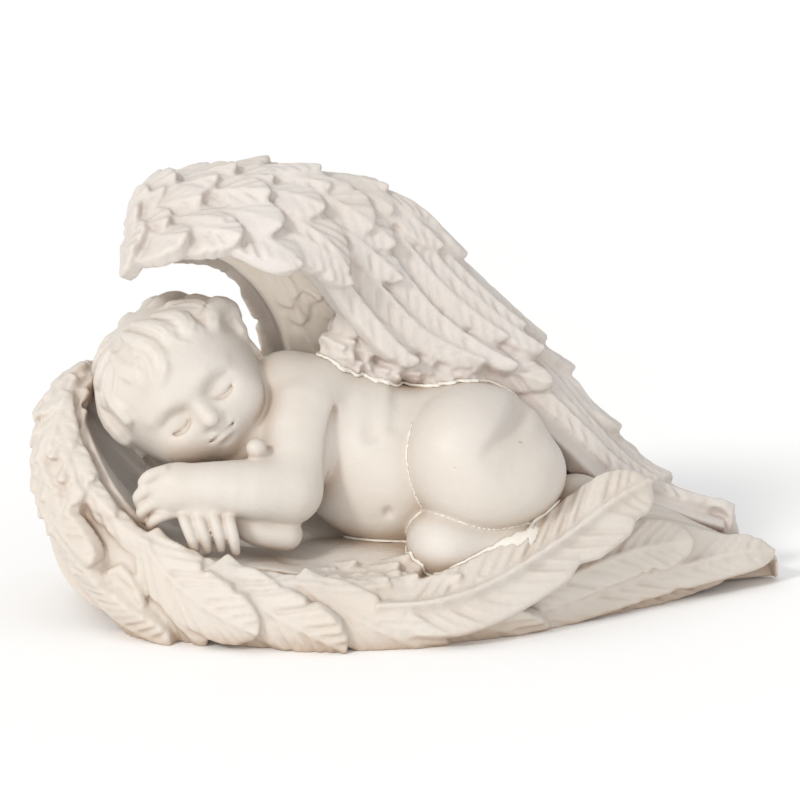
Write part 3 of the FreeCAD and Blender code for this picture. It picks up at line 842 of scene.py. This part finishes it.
def bed_tips(shells):
    """Feather tips on the bed, along the front of the child and in under its arm and belly."""
    for x in np.arange(-36, 14, 3.0):
        x = x + rng.uniform(-1.5, 1.5)
        y = -24.0 + 0.0045 * (x + 12) ** 2 + rng.uniform(-1.6, 1.6)
        reach, drop = rng.uniform(5, 9), rng.uniform(-2.2, 1.0)
        spine = [(x - 3, y + 0.8, 9.8), (x + 0.4 * reach, y + 0.3 * drop, 10.8), (x + reach, y + drop, 10.9)]
        quill(shells, spine, rng.uniform(3.6, 6.0), (0.1, -0.45, 0.9), rise=rng.uniform(0.5, 1.6),
              roll=rng.uniform(-15, 15))
    for _ in range(16):
        x, y = rng.uniform(-32, -4), rng.uniform(-21, -15)
        way = vec(rng.uniform(3, 5), rng.uniform(-2.5, 0.5), 0)
        height = 10.6 + 3.6 * smoothstep(-24, -4, x) * smoothstep(-21, -15, y)
        spine = [vec(x, y, height - 0.6), vec(x, y, height) + way, vec(x, y, height + 0.2) + 1.8 * way]
        quill(shells, spine, rng.uniform(3.4, 4.8), (0.0, -0.3, 0.95), rise=rng.uniform(0.5, 1.3),
              roll=rng.uniform(-12, 12))


def vanes_in_curl(shells):
    for u in np.arange(0.4, 6.4, 0.42):
        CRADLE.feather(shells, (u, 0.0), (u + 0.75, 0.52), rng.uniform(6, 7.5), inside=4.0, rise=0.6)


def cad_distances(node, clay):
    """A CAD node's signed distances, on the clay's grid."""
    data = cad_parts[node].data
    points = np.array([v.co for v in data.vertices]) / MM
    data.calc_loop_triangles()
    corners = np.array([t.vertices for t in data.loop_triangles])
    unique, index = np.unique(np.round(points, 4), axis=0, return_inverse=True)
    return level_set(clay, unique, reach=8, triangles=index.reshape(-1)[corners].astype(np.uint32))


def sculpt_cradle():
    shells = Shells()
    CRADLE.slab(shells, 0.8, cradle_thickness)
    nest_front(shells)
    NEST_BACK.slab(shells, 0.8, even(3.0))
    nest_back(shells)
    nest_rim(shells)
    long_quills(shells)
    bed_tips(shells)
    vanes_in_curl(shells)
    clay = Clay((-76, -36, -1), (76, 32, 54), COARSE)
    # The bed follows the CAD casting, a little sunk, and set back behind the feathered front.
    front = Shells()
    CRADLE.slab(front, -12.0, even(2.4), -0.1, 1.1)
    clay.field = np.maximum(cad_distances("cradle_wing", clay) + 0.5, -front.field(clay))
    for centre, radii in BED_MOUNDS:
        clay.add(ellipsoid(centre, radii), 3)
    clay.field = np.minimum(shells.field(clay), clay.field)
    clay.blur()
    return clay


# ---- filler
BEAD_RADIUS = 0.5
BEAD_START = -36.0  # no filler shows nearer the head than this


def sculpt_bead(child, seams, wings):
    """The line of filler along the child's meeting with the wings, and along the seams of its legs."""
    bead = child.blank()
    bead.field = np.minimum(np.hypot(child.field, wings), seams) - BEAD_RADIUS
    bead.field = np.maximum(bead.field, BEAD_START - bead.along(0)[:, None, None])
    # Only the part that stands out of the castings is kept.
    bead.field = np.maximum(bead.field, -np.minimum(child.field, wings) - 0.05)
    for axis in range(3):
        ends = np.moveaxis(bead.field, axis, 0)
        ends[0], ends[-1] = FAR, FAR
    return bead


# ---- resin and filler materials
# The second colour is painted shade: the darker, warmer tone painted into creases and hollows.
IVORY, HOLLOW_SHADE = (0.635, 0.592, 0.545), (0.48, 0.38, 0.30)
WHITE = (1, 1, 1)


def new_material(name):
    """A material, its nodes, its links and its shader."""
    material = bpy.data.materials.new(name)
    material.use_nodes = True
    nodes, links = material.node_tree.nodes, material.node_tree.links
    return material, nodes, links, nodes["Principled BSDF"]


def add_node(nodes, kind, **settings):
    node = nodes.new(kind)
    for name, value in settings.items():
        setattr(node, name, value)
    return node


def add_noise(nodes, links, place, scale, detail):
    """Noise at a place, as an output socket."""
    noise = nodes.new("ShaderNodeTexNoise")
    noise.inputs["Scale"].default_value = scale
    noise.inputs["Detail"].default_value = detail
    links.new(place, noise.inputs["Vector"])
    return noise.outputs["Fac"]


def add_ramp(nodes, links, source, *stops):
    """A colour ramp of two stops, each a position and a colour, as an output socket."""
    ramp = nodes.new("ShaderNodeValToRGB")
    for element, (position, colour) in zip(ramp.color_ramp.elements, stops):
        element.position = position
        element.color = (*colour, 1)
    links.new(source, ramp.inputs["Fac"])
    return ramp.outputs["Color"]


def add_bump(nodes, links, height, strength, distance):
    bump = nodes.new("ShaderNodeBump")
    bump.inputs["Strength"].default_value = strength
    bump.inputs["Distance"].default_value = distance
    links.new(height, bump.inputs["Height"])
    return bump


def resin_tone(nodes, links, mottle, light, shade_colour):
    """The resin's colour, softly mottled, with painted shade: ambient occlusion darkens it in the hollows and
    creases, and open faces and ridges keep the paler light colour.
    """
    # Painted shade: ambient occlusion finds the hollows and creases, where shade falls, and darkens the
    # colour there.
    shade_ao = add_node(nodes, "ShaderNodeAmbientOcclusion", samples=6)
    shade_ao.inputs["Distance"].default_value = 0.005
    mix = add_node(nodes, "ShaderNodeMix", data_type="RGBA", blend_type="MULTIPLY")
    mix.inputs["Factor"].default_value = 1.0
    links.new(add_ramp(nodes, links, shade_ao.outputs["AO"], (0.30, shade_colour), (0.92, light)), mix.inputs["A"])
    links.new(add_ramp(nodes, links, mottle, (0.35, (0.955, 0.935, 0.905)), (0.68, WHITE)), mix.inputs["B"])
    return mix.outputs["Result"]


def painted_glow_tone(nodes, links, colour, glow_colour):
    """The colour, with a lighter painted glow mixed in on the faces marked for it, standing in for light
    coming through the thin resin.
    """
    glow_share = add_node(nodes, "ShaderNodeAttribute", attribute_name="glow_share")
    mix = add_node(nodes, "ShaderNodeMix", data_type="RGBA")
    mix.inputs["B"].default_value = (*glow_colour, 1)
    links.new(glow_share.outputs["Fac"], mix.inputs["Factor"])
    links.new(colour, mix.inputs["A"])
    return mix.outputs["Result"]


def cast_resin(name, light, shade_colour, roughness, grain, glow_colour=None):
    """Ivory cast resin: soft mottling, painted shade that darkens and warms the hollows while the ridges stay
    paler, and a faintly pitted skin.

    If a glow colour is given, it is painted on the faces marked for it as a lighter glow, standing in for
    light coming through the thin resin."""
    material, nodes, links, shader = new_material(name)
    place = nodes.new("ShaderNodeTexCoord").outputs["Object"]
    mottle = add_noise(nodes, links, place, 55.0, 5.0)
    colour = resin_tone(nodes, links, mottle, light, shade_colour)
    if glow_colour:
        colour = painted_glow_tone(nodes, links, colour, glow_colour)
    links.new(colour, shader.inputs["Base Color"])
    pits = add_bump(nodes, links, add_noise(nodes, links, place, 1400.0, 3.0), grain, 0.00012)
    waves = add_bump(nodes, links, add_noise(nodes, links, place, 320.0, 4.0), grain, 0.00045)
    links.new(pits.outputs["Normal"], waves.inputs["Normal"])
    links.new(waves.outputs["Normal"], shader.inputs["Normal"])
    polish = nodes.new("ShaderNodeMapRange")
    polish.inputs["To Min"].default_value = roughness - 0.07
    polish.inputs["To Max"].default_value = roughness + 0.07
    links.new(mottle, polish.inputs["Value"])
    links.new(polish.outputs["Result"], shader.inputs["Roughness"])
    shader.inputs["Subsurface Weight"].default_value = 0.12
    shader.inputs["Subsurface Radius"].default_value = (1.0, 0.62, 0.42)
    shader.inputs["Subsurface Scale"].default_value = 0.0016
    shader.inputs["Specular IOR Level"].default_value = 0.45
    return material


def floor_paper():
    material, nodes, links, shader = new_material("floor_paper")
    fibres = nodes.new("ShaderNodeTexNoise")
    fibres.inputs["Scale"].default_value = 40.0
    tone = add_ramp(nodes, links, fibres.outputs["Fac"], (0, (0.955,) * 3), (1, (0.975,) * 3))
    links.new(tone, shader.inputs["Base Color"])
    shader.inputs["Roughness"].default_value = 0.9
    return material


# ---- the pieces
def cut_away(clay, distances):
    """Cuts away what lies within the given distances."""
    clay.field = np.maximum(clay.field, -distances)


def keep_above_ground(clay):
    clay.field = np.maximum(clay.field, -clay.along(2)[None, None, :])


def finish_piece(clay, name, node, material):
    piece = clay.mesh(name)
    piece.data.materials.append(material)
    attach(piece, "root")
    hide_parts(node)
    return piece


def mark_painted_glow(clay, piece):
    """Marks where the painted glow goes: the far wing's points that lie well under its outer face, over the
    head, with soft borders.
    """
    outer = Shells()
    CANOPY.slab(outer, -8.0, even(2.4), -0.08, 1.05)
    depth = outer.field(clay)
    points = np.array([v.co for v in piece.data.vertices]) / MM
    x, y = points[:, 0], points[:, 1]
    at = np.clip(np.round((points - clay.low) / clay.voxel).astype(int), 0, clay.count - 1)
    share = smoothstep(0.0, 1.2, depth[tuple(at.T)]) * smoothstep(-50, -44, x) * smoothstep(-9, -15, x)
    share = share * smoothstep(4, 8, y)
    # The share of painted glow at each point.
    glow_share = piece.data.attributes.new("glow_share", "FLOAT", "POINT")
    glow_share.data.foreach_set("value", share.astype(np.float32))


def build_figure():
    """Sculpts the four pieces, each cut to the shape of the ones before it."""
    child, leg_seams = sculpt_child()
    canopy = sculpt_canopy()
    cut_away(canopy, child.read(canopy))
    keep_above_ground(canopy)
    cradle = sculpt_cradle()
    keep_above_ground(cradle)
    cut_away(cradle, np.minimum(child.read(cradle), canopy.read(cradle)))
    bead = sculpt_bead(child, leg_seams, np.minimum(canopy.read(child), cradle.read(child)))

    # In each resin below, the second colour is painted shade, darkening its hollows and creases.
    skin = cast_resin("child_resin", IVORY, HOLLOW_SHADE, 0.50, 0.35)
    # The far wing's third colour is a painted glow, standing in for light coming through the thin resin over
    # the head.
    far_resin = cast_resin("far_wing_resin", (0.64, 0.60, 0.565), (0.44, 0.36, 0.32), 0.56, 0.6,
                           glow_colour=(1.0, 0.915, 0.82))
    near_resin = cast_resin("near_wing_resin", (0.635, 0.588, 0.537), HOLLOW_SHADE, 0.54, 0.6)
    filler = cast_resin("filler_gloss", (0.80, 0.77, 0.72), (0.74, 0.68, 0.60), 0.22, 0.25)

    finish_piece(child, "cherub_sculpt", "cherub", skin)
    far_wing = finish_piece(canopy, "canopy_wing_sculpt", "canopy_wing", far_resin)
    mark_painted_glow(canopy, far_wing)
    finish_piece(cradle, "cradle_wing_sculpt", "cradle_wing", near_resin)
    finish_piece(bead, "filler_bead_sculpt", "filler_bead", filler)


# ---- camera, light and floor
CAMERA_TARGET = (-0.0011, 0.0, 0.0389)
CAMERA_ELEVATION, CAMERA_DISTANCE = math.radians(14), 1.15
VIEW_WIDTH, SENSOR_WIDTH = 0.148, 36
FLOOR_REACH = 1.6


def aim(obj, place, target):
    """Puts obj at place, facing target along its own -Z with +Y up."""
    obj.location = place
    obj.rotation_euler = (Vector(target) - Vector(place)).to_track_quat("-Z", "Y").to_euler()


def add_object(name, data):
    obj = bpy.data.objects.new(name, data)
    bpy.context.scene.collection.objects.link(obj)
    return obj


def add_camera():
    """A long lens that sees VIEW_WIDTH metres across at the figure."""
    data = bpy.data.cameras.new("camera")
    data.sensor_width = SENSOR_WIDTH
    data.lens = SENSOR_WIDTH * CAMERA_DISTANCE / VIEW_WIDTH
    camera = add_object("camera", data)
    x, y, z = CAMERA_TARGET
    back, up = CAMERA_DISTANCE * math.cos(CAMERA_ELEVATION), CAMERA_DISTANCE * math.sin(CAMERA_ELEVATION)
    aim(camera, (x, y - back, z + up), CAMERA_TARGET)
    bpy.context.scene.camera = camera


def add_sun(name, place, strength, soft_degrees, colour):
    """A softbox far away: even light with soft shadows."""
    data = bpy.data.lights.new(name, "SUN")
    data.energy, data.angle, data.color = strength, math.radians(soft_degrees), colour
    aim(add_object(name, data), place, (0, 0, 0))


def add_lights():
    add_sun("key", (-0.72, -0.74, 0.66), 1.45, 12, (1.0, 0.985, 0.96))
    add_sun("low_fill", (-0.05, -1.0, 0.05), 1.0, 30, (1.0, 0.97, 0.93))
    world = bpy.data.worlds.new("studio")
    world.use_nodes = True
    background = world.node_tree.nodes["Background"]
    background.inputs["Color"].default_value = (*WHITE, 1)
    background.inputs["Strength"].default_value = 0.79
    bpy.context.scene.world = world


def add_floor():
    data = bpy.data.meshes.new("floor")
    corners = [(x * FLOOR_REACH, y * FLOOR_REACH, 0) for x, y in ((-1, -1), (1, -1), (1, 1), (-1, 1))]
    data.from_pydata(corners, [], [(0, 1, 2, 3)])
    data.materials.append(floor_paper())
    add_object("floor", data)


build_figure()
add_camera()
add_floor()
add_lights()
bpy.context.scene.view_settings.view_transform = "Standard"
